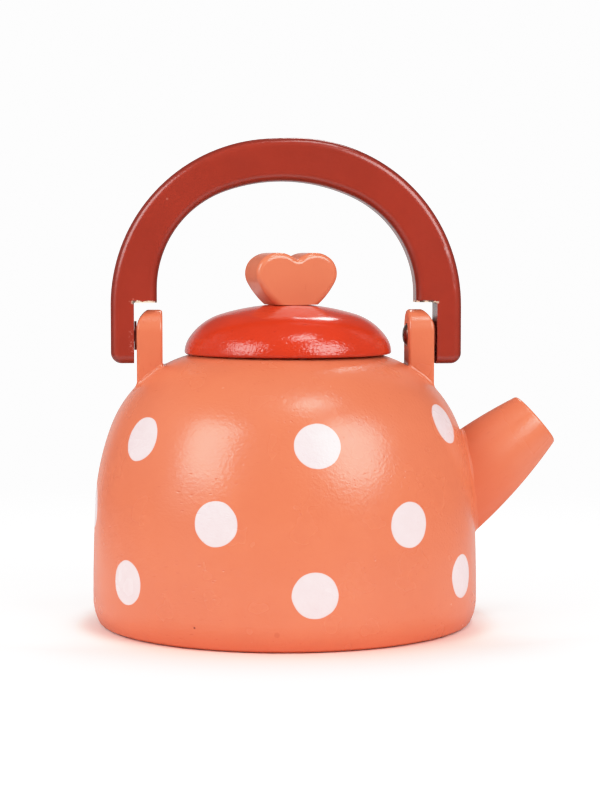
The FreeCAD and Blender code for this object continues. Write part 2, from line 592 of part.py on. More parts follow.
# ------------------------------------------------ pivot screws and washers
# Screw, local frame: Z from the head to the tip, z = 0 under the head.
def make_screw(name, label, length):
    screw = new_body(name, label)
    sk = new_sketch(screw, name + "Profile", "XZ_Plane")
    hr, hh, rim = d("head_radius"), d("head_height"), d("head_rim")
    sr, sl, tip = d("screw_radius"), d(length), d("screw_tip")
    # domed head: arc from the rim to the flat crest
    crest = 1.6
    chord = Vector(hr - crest, hh - rim, 0)
    rad = 3.1
    mid = Vector((hr + crest) / 2, -(hh + rim) / 2, 0)
    half = chord.Length / 2
    normal = Vector(-(hh - rim), (hr - crest), 0).normalize()
    centre = mid + normal * math.sqrt(rad ** 2 - half ** 2)
    s = math.atan2(-hh - centre.y, crest - centre.x)
    e = math.atan2(-rim - centre.y, hr - centre.x)
    sk.addGeometry([
        line(0, -hh, crest, -hh),
        arc(centre.x, centre.y, rad, s, e),
        line(hr, -rim, hr, 0),
        line(hr, 0, sr, 0),
        line(sr, 0, sr, sl - tip),
        line(sr, sl - tip, 0, sl),
        line(0, sl, 0, -hh),
    ], False)
    for k in range(6):
        tie(sk, "Coincident", k, 2, k + 1, 1)
    tie(sk, "Coincident", 6, 2, 0, 1)
    tie(sk, "PointOnObject", 0, 1, -2)
    tie(sk, "Horizontal", 0)
    tie(sk, "Vertical", 2)
    tie(sk, "Horizontal", 3)
    tie(sk, "PointOnObject", 2, 2, -1)
    tie(sk, "Vertical", 4)
    tie(sk, "Vertical", 6)
    drive(sk, "DistanceX", (-1, 1, 2, 1), hr, "head_radius")
    drive(sk, "DistanceY", (2, 1, -1, 1), rim, "head_rim")
    drive(sk, "DistanceY", (0, 1, -1, 1), hh, "head_height")
    drive(sk, "DistanceX", (0, 1, 0, 2), crest, "head_crest", "1.6")
    drive(sk, "Radius", (1,), rad, "head_arc", "3.1")
    drive(sk, "DistanceX", (-1, 1, 4, 1), sr, "screw_radius")
    drive(sk, "DistanceY", (-1, 1, 5, 2), sl, length)
    drive(sk, "DistanceY", (5, 1, 5, 2), tip, "screw_tip")
    closed(sk)
    turned = revolve(screw, name + "Turned", sk)
    # cross recess in the crest
    cl, cw = d("cross_len") / 2, d("cross_wide") / 2
    sk = new_sketch(screw, name + "Cross", "XY_Plane", -d("head_height"))
    pts = [(cl, -cw), (cl, cw), (cw, cw), (cw, cl), (-cw, cl), (-cw, cw),
           (-cl, cw), (-cl, -cw), (-cw, -cw), (-cw, -cl), (cw, -cl), (cw, -cw)]
    n = len(pts)
    sk.addGeometry([line(*(pts[k] + pts[(k + 1) % n])) for k in range(n)], False)
    for k in range(n):
        tie(sk, "Coincident", k, 2, (k + 1) % n, 1)
    for k in range(n):
        tie(sk, "Vertical" if k % 2 == 0 else "Horizontal", k)
    drive(sk, "DistanceX", (-1, 1, 0, 1), cl, "arm", "Sizes.cross_len / 2")
    drive(sk, "DistanceX", (6, 1, -1, 1), cl, "arm_back", "Sizes.cross_len / 2")
    drive(sk, "DistanceY", (-1, 1, 3, 2), cl, "arm_up", "Sizes.cross_len / 2")
    drive(sk, "DistanceY", (9, 2, -1, 1), cl, "arm_down", "Sizes.cross_len / 2")
    drive(sk, "DistanceY", (-1, 1, 0, 2), cw, "half_wide", "Sizes.cross_wide / 2")
    drive(sk, "DistanceY", (0, 1, -1, 1), cw, "half_wide2", "Sizes.cross_wide / 2")
    closed(sk)
    cut = screw.newObject("PartDesign::Pocket", name + "Recess")
    cut.Profile = sk
    cut.Type = 0
    cut.Reversed = True
    cut.setExpression("Length", expr("cross_deep"))
    cut.TaperAngle = -12.0
    sk.Visibility = False
    doc.recompute()
    if not turned.Shape.Volume - cut.Shape.Volume > 2.0:
        raise RuntimeError("the recess removed nothing")
    return screw


screw_r = make_screw("ScrewR", "pivot_screw_right", "screw_len_right")
screw_r.Placement = Placement(Vector(head_x[1], 0, d("pivot_z")),
                              Rotation(Vector(0, 0, 1), Vector(1, 0, 0)))
screw_r.setExpression("Placement.Base.x", HEAD_X[1])
screw_l = make_screw("ScrewL", "pivot_screw_left", "screw_len_left")
screw_l.Placement = Placement(Vector(-head_x[-1], 0, d("pivot_z")),
                              Rotation(Vector(0, 0, 1), Vector(-1, 0, 0)))
screw_l.setExpression("Placement.Base.x", "-" + HEAD_X[-1])
for part in (screw_r, screw_l):
    part.setExpression("Placement.Base.z", expr("pivot_z"))


def make_washer(name, label, side):
    ring = doc.addObject("Part::Cylinder", name + "Disc")
    ring.setExpression("Radius", expr("washer_radius"))
    ring.setExpression("Height", expr("washer_thick"))
    eye = doc.addObject("Part::Cylinder", name + "Eye")
    eye.setExpression("Radius", expr("washer_hole"))
    eye.setExpression("Height", "Sizes.washer_thick + 2")
    eye.Placement = Placement(Vector(0, 0, -1), Rotation())
    cut = doc.addObject("Part::Cut", name)
    cut.Label = label
    cut.Base = ring
    cut.Tool = eye
    doc.recompute()
    word = "right" if side > 0 else "left"
    outer_face = d("post_mid_" + word) + d("post_thick") / 2
    cut.Placement = Placement(Vector(side * outer_face, 0, d("pivot_z")),
                              Rotation(Vector(0, 0, 1), Vector(side, 0, 0)))
    cut.setExpression("Placement.Base.x",
                      ("" if side > 0 else "-")
                      + "(Sizes.post_mid_%s + Sizes.post_thick / 2)" % word)
    cut.setExpression("Placement.Base.z", expr("pivot_z"))
    return cut


washer_r = make_washer("WasherR", "washer_right", 1)
washer_l = make_washer("WasherL", "washer_left", -1)

# ----------------------------------------------------------------------- lid
# Turned lid with a locating spigot; local axis on Z, set a little to the spout
# side of the body's axis, as a loose lid lies.
lid_form = new_body("LidForm", "lid_form")
sk = new_sketch(lid_form, "LidProfile", "XZ_Plane")
LR, lz = d("lid_radius"), d("lid_z")
ca = (LR - d("rim_arc"), d("rim_z"))
sa = math.asin((lz - d("rim_z")) / d("rim_arc"))
xs = ca[0] + d("rim_arc") * math.cos(sa)
ea = math.asin((d("rim_top") - ca[1]) / d("rim_arc"))
pa = (ca[0] + d("rim_arc") * math.cos(ea), d("rim_top"))
cb = (pa[0] - d("dome_arc") * math.cos(ea), pa[1] - d("dome_arc") * math.sin(ea))
eb = math.asin((d("dome_top") - cb[1]) / d("dome_arc"))
pb = (cb[0] + d("dome_arc") * math.cos(eb), d("dome_top"))
cc = (pb[0] - d("crest_arc") * math.cos(eb), pb[1] - d("crest_arc") * math.sin(eb))
ec = math.asin((d("knob_seat") - cc[1]) / d("crest_arc"))
pc = (cc[0] + d("crest_arc") * math.cos(ec), d("knob_seat"))
sp, sl, sc = d("spigot_radius"), d("spigot_len"), d("spigot_chamfer")
sk.addGeometry([
    line(0, lz - sl, sp - sc, lz - sl),            # 0 end of the spigot
    line(sp - sc, lz - sl, sp, lz - sl + sc),      # 1
    line(sp, lz - sl + sc, sp, lz),                # 2
    line(sp, lz, xs, lz),                          # 3 underside
    arc(ca[0], ca[1], d("rim_arc"), sa, ea),       # 4
    arc(cb[0], cb[1], d("dome_arc"), ea, eb),      # 5
    arc(cc[0], cc[1], d("crest_arc"), eb, ec),     # 6
    line(pc[0], pc[1], 0, pc[1]),                  # 7 flat for the knob
    line(0, pc[1], 0, lz - sl),                    # 8
], False)
for k in (0, 1, 2, 3):
    tie(sk, "Coincident", k, 2, k + 1, 1)
tie(sk, "Tangent", 4, 2, 5, 1)
tie(sk, "Tangent", 5, 2, 6, 1)
tie(sk, "Coincident", 6, 2, 7, 1)
tie(sk, "Coincident", 7, 2, 8, 1)
tie(sk, "Coincident", 8, 2, 0, 1)
tie(sk, "PointOnObject", 0, 1, -2)
for k in (0, 3, 7):
    tie(sk, "Horizontal", k)
for k in (2, 8):
    tie(sk, "Vertical", k)
drive(sk, "DistanceX", (-1, 1, 2, 1), sp, "spigot_radius")
drive(sk, "DistanceX", (1, 1, 1, 2), sc, "spigot_chamfer")
drive(sk, "DistanceY", (1, 1, 1, 2), sc, "chamfer_height", expr("spigot_chamfer"))
drive(sk, "DistanceY", (-1, 1, 2, 2), lz, "lid_z")
drive(sk, "DistanceY", (0, 1, 2, 2), sl, "spigot_len")
drive(sk, "DistanceX", (-1, 1, 4, 3), ca[0], "rim_centre", "Sizes.lid_radius - Sizes.rim_arc")
drive(sk, "DistanceY", (-1, 1, 4, 3), ca[1], "rim_z")
drive(sk, "Radius", (4,), d("rim_arc"), "rim_arc")
drive(sk, "DistanceY", (-1, 1, 4, 2), d("rim_top"), "rim_top")
drive(sk, "Radius", (5,), d("dome_arc"), "dome_arc")
drive(sk, "DistanceY", (-1, 1, 5, 2), d("dome_top"), "dome_top")
drive(sk, "Radius", (6,), d("crest_arc"), "crest_arc")
drive(sk, "DistanceY", (-1, 1, 6, 2), d("knob_seat"), "knob_seat")
closed(sk)
lid_rev = revolve(lid_form, "LidTurned", sk)
fillet(lid_form, "LidEdge", lid_rev,
       edges_where(lid_rev.Shape, lambda e: ring_edge(e, xs, lz)), "lid_edge")
lid_form.Placement = Placement(Vector(d("lid_shift"), 0, 0), Rotation())
lid_form.setExpression("Placement.Base.x", expr("lid_shift"))

knob_dowel = doc.addObject("Part::Cylinder", "KnobDowel")
knob_dowel.Label = "knob_dowel"
knob_dowel.setExpression("Radius", expr("knob_dowel_r"))
knob_dowel.setExpression("Height", expr("knob_dowel_len"))
knob_dowel.setExpression("Placement.Base.x", expr("knob_x"))
knob_dowel.setExpression("Placement.Base.z", "Sizes.knob_seat - Sizes.knob_dowel_len / 2")
doc.recompute()
lid = doc.addObject("Part::Cut", "Lid")
lid.Label = "lid"
lid.Base = lid_form
lid.Tool = knob_dowel

# ---------------------------------------------------------------- heart knob
# Sawn from a board, local frame: origin at the middle of its base, Z up.
knob_form = new_body("KnobForm", "knob_form")
sk = new_sketch(knob_form, "KnobOutline", "XZ_Plane")
kb, kh, kz = d("knob_base"), d("knob_half"), d("knob_wide_z")
ra, rf, rb, rn = d("knob_side_arc"), d("knob_flank_arc"), d("knob_top_arc"), d("notch_arc")
top = d("knob_top")
sa_c = (kh - ra, kz)
# top arc: touches the side arc from inside, its highest point at the lobe's top
tb_z = top - rb
sin_b = (kz - tb_z) / (rb - ra)
beta = math.asin(sin_b)
tb_c = (sa_c[0] - (rb - ra) * math.cos(beta), tb_z)
# flank arc: touches the side arc from inside and runs to the corner of the base
lo, hi = 0.05, 1.3
for _ in range(60):
    g = (lo + hi) / 2
    fc = (sa_c[0] - (rf - ra) * math.cos(g), sa_c[1] + (rf - ra) * math.sin(g))
    if math.hypot(kb - fc[0], fc[1]) < rf:
        lo = g
    else:
        hi = g
flank_0 = math.atan2(-fc[1], kb - fc[0])
# notch arc between the lobes, touching both from above
nz = tb_z + math.sqrt((rb + rn) ** 2 - tb_c[0] ** 2)
na = math.atan2(nz - tb_z, -tb_c[0])
nn = math.atan2(tb_z - nz, tb_c[0])
sk.addGeometry([
    line(-kb, 0, kb, 0),                                     # 0 base
    arc(fc[0], fc[1], rf, flank_0, -g),                      # 1 right flank
    arc(sa_c[0], sa_c[1], ra, -g, beta),                     # 2 right side
    arc(tb_c[0], tb_c[1], rb, beta, na),                     # 3 right lobe
    arc(0, nz, rn, math.pi - nn, 2 * math.pi + nn),          # 4 notch
    arc(-tb_c[0], tb_c[1], rb, math.pi - na, math.pi - beta),    # 5 left lobe
    arc(-sa_c[0], sa_c[1], ra, math.pi - beta, math.pi + g),     # 6 left side
    arc(-fc[0], fc[1], rf, math.pi + g, math.pi - flank_0),      # 7 left flank
], False)
tie(sk, "Coincident", 0, 2, 1, 1)
tie(sk, "Tangent", 1, 2, 2, 1)
tie(sk, "Tangent", 2, 2, 3, 1)
tie(sk, "Tangent", 3, 2, 4, 2)
tie(sk, "Tangent", 4, 1, 5, 1)
tie(sk, "Tangent", 5, 2, 6, 1)
tie(sk, "Tangent", 6, 2, 7, 1)
tie(sk, "Coincident", 7, 2, 0, 1)
tie(sk, "PointOnObject", 0, 1, -1)
tie(sk, "PointOnObject", 0, 2, -1)
drive(sk, "DistanceX", (-1, 1, 0, 2), kb, "knob_base")
drive(sk, "DistanceX", (0, 1, -1, 1), kb, "knob_base_left", expr("knob_base"))
for word, side, lobe, flank, sign in (("", 2, 3, 1, 1), ("_left", 6, 5, 7, -1)):
    drive(sk, "Radius", (flank,), rf, "knob_flank_arc" + word, expr("knob_flank_arc"))
    drive(sk, "Radius", (side,), ra, "knob_side_arc" + word, expr("knob_side_arc"))
    drive(sk, "Radius", (lobe,), rb, "knob_top_arc" + word, expr("knob_top_arc"))
    ends = (-1, 1, side, 3) if sign > 0 else (side, 3, -1, 1)
    drive(sk, "DistanceX", ends, sa_c[0], "knob_side" + word, "Sizes.knob_half - Sizes.knob_side_arc")
    drive(sk, "DistanceY", (-1, 1, side, 3), kz, "knob_wide_z" + word, expr("knob_wide_z"))
    drive(sk, "DistanceY", (-1, 1, lobe, 3), tb_z, "lobe_z" + word, "Sizes.knob_top - Sizes.knob_top_arc")
drive(sk, "Radius", (4,), rn, "notch_arc")
closed(sk)
knob_pad = knob_form.newObject("PartDesign::Pad", "KnobPad")
knob_pad.Profile = sk
knob_pad.Midplane = True
knob_pad.setExpression("Length", expr("knob_depth"))
sk.Visibility = False
doc.recompute()
kd = d("knob_depth") / 2


def knob_rim(e):
    box = e.BoundBox
    return (box.YMax - box.YMin < 0.01 and abs(abs(box.YMax) - kd) < 0.01
            and box.ZMax > 0.01)


fillet(knob_form, "KnobEdges", knob_pad, edges_where(knob_pad.Shape, knob_rim), "knob_edge")
knob_form.Placement = Placement(Vector(d("knob_x"), 0, d("knob_seat")),
                                Rotation(Vector(0, 0, 1), d("knob_yaw")))
knob_form.setExpression("Placement.Base.x", expr("knob_x"))
knob_form.setExpression("Placement.Base.z", expr("knob_seat"))
knob = doc.addObject("Part::Cut", "Knob")
knob.Label = "knob"
knob.Base = knob_form
knob.Tool = knob_dowel
doc.recompute()

# -------------------------------------------------------------- check, write
parts = [kettle, spout, dowel, post_l, post_r, handle, screw_l, screw_r,
         washer_l, washer_r, lid, knob, knob_dowel]
for obj in doc.Objects:
    if "Invalid" in obj.State or "Error" in obj.State:
        raise RuntimeError("%s failed: %s" % (obj.Name, obj.State))
os.makedirs("parts", exist_ok=True)
for obj in parts:
    shape = obj.Shape
    if shape.isNull() or not shape.isValid():
        raise RuntimeError(obj.Label + " has no valid shape")
    if len(shape.Solids) != 1:
        raise RuntimeError("%s has %d solids" % (obj.Label, len(shape.Solids)))
for obj in parts:
    obj.Shape.exportStep("parts/%s.step" % obj.Label)
    box = obj.Shape.BoundBox
    print("%-18s %9.1f mm3  x %.2f %.2f  y %.2f %.2f  z %.2f %.2f" % (
        obj.Label, obj.Shape.Volume, box.XMin, box.XMax, box.YMin, box.YMax, box.ZMin, box.ZMax))
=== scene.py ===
import math
import bpy
from mathutils import Matrix, Vector, noise


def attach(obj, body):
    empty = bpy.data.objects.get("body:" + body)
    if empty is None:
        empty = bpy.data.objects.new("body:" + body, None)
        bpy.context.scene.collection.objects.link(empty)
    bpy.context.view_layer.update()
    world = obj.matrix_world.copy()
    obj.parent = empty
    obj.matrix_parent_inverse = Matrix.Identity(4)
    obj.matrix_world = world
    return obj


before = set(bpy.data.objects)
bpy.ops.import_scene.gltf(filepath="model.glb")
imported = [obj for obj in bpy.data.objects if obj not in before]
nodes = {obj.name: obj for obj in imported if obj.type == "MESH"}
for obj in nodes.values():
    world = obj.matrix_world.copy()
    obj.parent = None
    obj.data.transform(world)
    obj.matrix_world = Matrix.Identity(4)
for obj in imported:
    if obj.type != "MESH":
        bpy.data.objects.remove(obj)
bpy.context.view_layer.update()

MM = 0.001


# --------------------------------------------------------------------------
# the kettle's own geometry, in millimetres
# --------------------------------------------------------------------------
# outline of the turned body: four arcs that run into each other, as (x, z, radius, z at the end)
def wall_arcs():
    base = (60.0 - 15.3, 7.9, 15.3)
    wall = (60.0 - 572.5, 7.9, 572.5)
    a1 = math.asin((37.7 - wall[1]) / wall[2])
    p2 = (wall[0] + wall[2] * math.cos(a1), 37.7)
    shoulder = (p2[0] - 77.2 * math.cos(a1), p2[1] - 77.2 * math.sin(a1), 77.2)
    a2 = math.asin((61.8 - shoulder[1]) / shoulder[2])
    p3 = (shoulder[0] + shoulder[2] * math.cos(a2), 61.8)
    crown = (p3[0] - 35.8 * math.cos(a2), p3[1] - 35.8 * math.sin(a2), 35.8)
    return ((7.9, base), (37.7, wall), (61.8, shoulder), (83.6, crown))


ARCS = wall_arcs()


def wall_radius(z):
    """Radius of the body's outside at height z."""
    for top, (cx, cz, r) in ARCS:
        if z <= top:
            break
    return cx + math.sqrt(max(r * r - (z - cz) ** 2, 0.0))


def wall_height(rho):
    """Height of the shoulder and crown at a distance rho from the axis."""
    lo, hi = 20.0, 83.6
    for _ in range(50):
        mid = (lo + hi) / 2
        if wall_radius(mid) > rho:
            lo = mid
        else:
            hi = mid
    return (lo + hi) / 2


def wall_normal(p):
    z = p.z
    for top, (cx, cz, r) in ARCS:
        if z <= top:
            break
    rho = math.hypot(p.x, p.y)
    n = Vector(((rho - cx) * p.x / rho, (rho - cx) * p.y / rho, z - cz))
    return n.normalized()


def on_wall(p):
    """The point of the body's outside nearest to p, along the arc's own radius."""
    for top, (cx, cz, r) in ARCS:
        if p.z <= top:
            break
    rho = math.hypot(p.x, p.y)
    d = Vector((rho - cx, 0, p.z - cz)).normalized() * r
    k = (cx + d.x) / rho
    return Vector((p.x * k, p.y * k, cz + d.z))


# the spout: tip, rise, and the radius of its convex side at a distance s back from the tip
SPOUT_TIP = Vector((79.37, 0, 62.94))
SPOUT_RISE = math.radians(40.8)
SPOUT_AXIS = Vector((math.cos(SPOUT_RISE), 0, math.sin(SPOUT_RISE)))


def spout_radius(s):
    rt, rr, ln, big = 9.2, 14.25, 45.5, 164.0
    half = math.hypot(rr - rt, ln) / 2
    lean = math.atan2(ln, rr - rt)
    back = math.sqrt(big ** 2 - half ** 2)
    cx, cz = (rt + rr) / 2 - back * math.sin(lean), ln / 2 + back * math.cos(lean)
    return cx + math.sqrt(big ** 2 - (s - cz) ** 2)


# --------------------------------------------------------------------------
# node helpers
# --------------------------------------------------------------------------
class Tree:
    def __init__(self, name):
        self.mat = bpy.data.materials.new(name)
        self.mat.use_nodes = True
        self.t = self.mat.node_tree
        self.t.nodes.clear()
        self.out = self.t.nodes.new("ShaderNodeOutputMaterial")
        self.bsdf = self.t.nodes.new("ShaderNodeBsdfPrincipled")
        self.t.links.new(self.bsdf.outputs[0], self.out.inputs[0])

    def set(self, socket, value):
        s = self.bsdf.inputs[socket]
        if hasattr(value, "is_output"):
            self.t.links.new(value, s)
        elif isinstance(value, (tuple, list)):
            s.default_value = (*value[:3], 1.0)
        else:
            s.default_value = value

    def put(self, socket, value):
        if hasattr(value, "is_output"):
            self.t.links.new(value, socket)
        elif isinstance(value, (tuple, list)) and socket.type == "RGBA":
            socket.default_value = (*value[:3], 1.0)
        else:
            socket.default_value = value

    def node(self, kind, **props):
        n = self.t.nodes.new(kind)
        for k, v in props.items():
            setattr(n, k, v)
        return n

    def m(self, op, a, b=None, c=None, clamp=False):
        n = self.node("ShaderNodeMath", operation=op, use_clamp=clamp)
        for s, v in zip(n.inputs, (a, b, c)):
            if v is not None:
                self.put(s, v)
        return n.outputs[0]

    def v(self, op, a, b=None, scale=None):
        n = self.node("ShaderNodeVectorMath", operation=op)
        self.put(n.inputs[0], a)
        if b is not None:
            self.put(n.inputs[1], b)
        if scale is not None:
            self.put(n.inputs["Scale"], scale)
        return n.outputs["Value"] if op in ("LENGTH", "DISTANCE", "DOT_PRODUCT") else n.outputs["Vector"]

    def mm(self):
        """Place on the piece in its own frame, in millimetres."""
        c = self.node("ShaderNodeTexCoord")
        return self.v("SCALE", c.outputs["Object"], scale=1000.0)

    def xyz(self, vec):
        n = self.node("ShaderNodeSeparateXYZ")
        self.put(n.inputs[0], vec)
        return n.outputs[0], n.outputs[1], n.outputs[2]

    def join(self, x, y, z):
        n = self.node("ShaderNodeCombineXYZ")
        for s, v in zip(n.inputs, (x, y, z)):
            self.put(s, v)
        return n.outputs[0]

    def noise(self, vec, scale, detail=2.0, rough=0.5, warp=0.0):
        n = self.node("ShaderNodeTexNoise")
        self.put(n.inputs["Vector"], vec)
        n.inputs["Scale"].default_value = scale
        n.inputs["Detail"].default_value = detail
        n.inputs["Roughness"].default_value = rough
        n.inputs["Distortion"].default_value = warp
        return n.outputs["Fac"]

    def cells(self, vec, scale, feature="F1", rand=1.0, out="Distance"):
        n = self.node("ShaderNodeTexVoronoi", feature=feature)
        self.put(n.inputs["Vector"], vec)
        n.inputs["Scale"].default_value = scale
        n.inputs["Randomness"].default_value = rand
        return n.outputs[out]

    def map(self, v, a, b, c=0.0, d=1.0, smooth=True):
        n = self.node("ShaderNodeMapRange")
        n.interpolation_type = "SMOOTHSTEP" if smooth else "LINEAR"
        for s, x in zip(("Value", "From Min", "From Max", "To Min", "To Max"), (v, a, b, c, d)):
            self.put(n.inputs[s], x)
        return n.outputs[0]

    def mix(self, f, a, b, blend="MIX"):
        n = self.node("ShaderNodeMix", data_type="RGBA", blend_type=blend)
        self.put(n.inputs["Factor"], f)
        for s, v in ((6, a), (7, b)):
            if isinstance(v, (tuple, list)):
                n.inputs[s].default_value = (*v[:3], 1.0)
            else:
                self.t.links.new(v, n.inputs[s])
        return n.outputs[2]

    def bump(self, height, distance, normal=None, strength=1.0):
        """Relief whose height is in millimetres once multiplied by distance (mm)."""
        n = self.node("ShaderNodeBump")
        n.inputs["Strength"].default_value = strength
        n.inputs["Distance"].default_value = distance * MM
        self.put(n.inputs["Height"], height)
        if normal is not None:
            self.put(n.inputs["Normal"], normal)
        return n.outputs[0]


# --------------------------------------------------------------------------
# paint on wood
# --------------------------------------------------------------------------
CORAL = (0.618, 0.148, 0.069)
# painted light: the knob's coral is a lighter copy of the body's, for the stronger light on the knob
KNOB = (0.650, 0.166, 0.081)
RED = (0.500, 0.031, 0.0088)
MAROON = (0.278, 0.0255, 0.0125)
DOT = (0.72, 0.545, 0.55)
BARE = (0.64, 0.405, 0.24)


def along(t, p, axis, stretch):
    """p squeezed along axis, so that what is drawn in it is drawn out along the grain."""
    a = Vector(axis).normalized()
    d = t.v("DOT_PRODUCT", p, tuple(a))
    back = t.v("SCALE", tuple(a), scale=t.m("MULTIPLY", d, 1.0 / stretch - 1.0))
    return t.v("ADD", p, back)


def paint(t, p, grain, pore=1.0, peel=1.0, grit=1.0, size=1.15):
    """Relief of a sprayed paint film over open-pored wood, in micrometres, and the mask of its pores."""
    # soft waves of the sprayed film
    film = t.noise(p, 0.42, 1.0, 0.55)
    waves = t.noise(p, 0.13, 0.0, 0.5)
    # fine wrinkles of the film, a little drawn out along the grain
    fine = t.noise(along(t, p, grain, 1.5), size, 1.0, 0.6)
    # pores of the wood that print through: short dashes along the grain, dots on the end grain
    q = along(t, p, grain, 4.0)
    cell = t.node("ShaderNodeTexVoronoi", feature="F1")
    t.put(cell.inputs["Vector"], q)
    cell.inputs["Scale"].default_value = 0.75
    cell.inputs["Randomness"].default_value = 1.0
    pit = t.map(cell.outputs["Distance"], 0.08, 0.26, 1.0, 0.0)
    # only some cells hold an open pore, in patches
    rnd = t.node("ShaderNodeSeparateColor")
    t.put(rnd.inputs[0], cell.outputs["Color"])
    some = t.map(rnd.outputs[0], 0.40, 0.60)
    patch = t.map(t.noise(along(t, p, grain, 2.5), 0.07, 2.0, 0.5), 0.40, 0.60)
    pits = t.m("MULTIPLY", t.m("MULTIPLY", pit, some), patch)
    h = t.m("MULTIPLY_ADD", film, 16.0 * peel, t.m("MULTIPLY", waves, 20.0 * peel))
    h = t.m("ADD", h, t.m("MULTIPLY", t.m("SUBTRACT", fine, 0.5), t.m("MULTIPLY", 26.0, grit)))
    h = t.m("SUBTRACT", h, t.m("MULTIPLY", pits, 34.0 * pore))
    return h, pits


def tint(t, p, base, amount=0.05, size=0.05):
    """Paint whose depth of colour wanders a little."""
    n = t.noise(p, size, 3.0, 0.55)
    lo = tuple(c * (1 - amount) for c in base)
    hi = tuple(min(c * (1 + amount), 0.95) for c in base)
    return t.mix(t.map(n, 0.3, 0.7), lo, hi)


# dots of the body: azimuth from the front (+ towards the spout), height, radius
DOTS = [
    (-54.7, 59.97, 6.82), (6.1, 59.57, 6.80), (61.1, 63.6, 6.45), (122.3, 60.4, 6.75), (183.0, 59.8, 6.8), (244.0, 60.2, 6.7),
    (-86.3, 36.7, 6.80), (-23.4, 37.2, 6.60), (34.1, 35.8, 6.72), (154.2, 36.4, 6.7), (213.5, 36.9, 6.75),
    (-55.2, 17.4, 6.62), (4.6, 17.0, 6.78), (59.1, 17.8, 6.58), (120.6, 17.3, 6.7), (181.9, 17.6, 6.65), (243.2, 17.1, 6.72),
]


def dot_field(t, p):
    """Signed distance to the nearest dot's edge, in millimetres, negative inside."""
    wob = t.m("MULTIPLY_ADD", t.noise(p, 0.16, 1.0, 0.5), 0.5, -0.25)
    best = None
    for az, z, r in DOTS:
        a = math.radians(az)
        rc = wall_radius(z)
        d = t.v("DISTANCE", p, (rc * math.sin(a), -rc * math.cos(a), z))
        d = t.m("SUBTRACT", d, r)
        best = d if best is None else t.m("MINIMUM", best, d)
    return t.m("ADD", best, wob)


def speck(t, p, at, r):
    return t.map(t.v("DISTANCE", p, at), r * 0.6, r, 1.0, 0.0)


def bare_wood(t, p, axis):
    """Colour and relief of unpainted beech: growth rings about an axis beside the piece, and short brown rays."""
    n = t.noise(along(t, p, axis, 14.0), 0.35, 4.0, 0.6)
    a = Vector(axis).normalized()
    d = t.v("SUBTRACT", p, tuple(a.orthogonal().normalized() * 41.0))
    off = t.v("SUBTRACT", d, t.v("SCALE", tuple(a), scale=t.v("DOT_PRODUCT", d, tuple(a))))
    wob = t.m("MULTIPLY", t.noise(along(t, p, axis, 6.0), 0.045, 2.0, 0.5), 2.2)
    rings = t.m("FRACT", t.m("MULTIPLY_ADD", t.v("LENGTH", off), 0.42, wob))
    late = t.m("MULTIPLY", t.map(rings, 0.30, 0.90), t.map(rings, 1.0, 0.95))
    late = t.m("MULTIPLY", late, t.m("MULTIPLY_ADD", n, 0.8, 0.4), clamp=True)
    rays = t.map(t.noise(along(t, p, axis, 5.0), 1.6, 1.0, 0.5), 0.64, 0.74)
    c = t.mix(late, tuple(min(x * 1.08, 0.9) for x in BARE), tuple(x * 0.74 for x in BARE))
    c = t.mix(t.m("MULTIPLY", rays, 0.40), c, (0.36, 0.19, 0.09))
    return c, t.m("MULTIPLY", n, 20.0)


